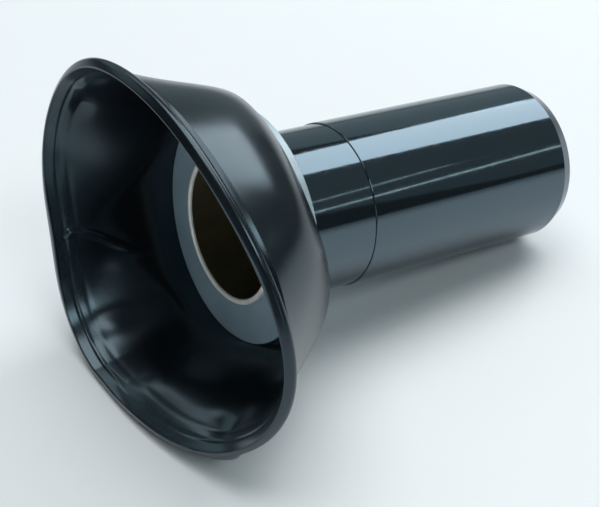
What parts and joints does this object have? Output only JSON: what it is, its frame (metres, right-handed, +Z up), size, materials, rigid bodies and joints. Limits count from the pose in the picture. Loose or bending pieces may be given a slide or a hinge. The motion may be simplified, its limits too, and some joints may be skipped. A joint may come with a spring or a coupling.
{
  "type": "carburettor vacuum piston",
  "caption": "Sliding vacuum piston of a constant-velocity carburettor with a rolling rubber diaphragm clamped to its flange, open to the front as a bell.",
  "frame": {"origin": "middle of the footprint, on the surface that the part lies on", "axes": "+Z up from that surface; +X from the diaphragm's mouth towards the piston's foot, level; +Y level and across the barrel"},
  "size_m": [0.0891, 0.065, 0.0554],
  "materials": {
    "black_anodised": "polished black hard anodising, olive brown inside the bore, bare metal on the rolled lip",
    "bare_aluminium": "turned, satin",
    "grey_aluminium": "matt blue-grey",
    "black_rubber": "smooth moulded rubber with a satin gloss"
  },
  "bodies": {
    "rim": {"diaphragm_wall": "black_rubber", "diaphragm_bead": "black_rubber"},
    "piston": {"barrel": "black_anodised", "collar": "black_anodised", "backing_flange": "bare_aluminium", "diaphragm_seat": "black_rubber", "clamp_ring": "grey_aluminium"}
  },
  "joints": [
    {"name": "piston_lift", "type": "slide", "parent": "rim", "child": "piston", "axis": [-0.9892, 0, 0.1466], "range_m": [0, 0.028], "stiffness_N_per_m": 8}
  ]
}
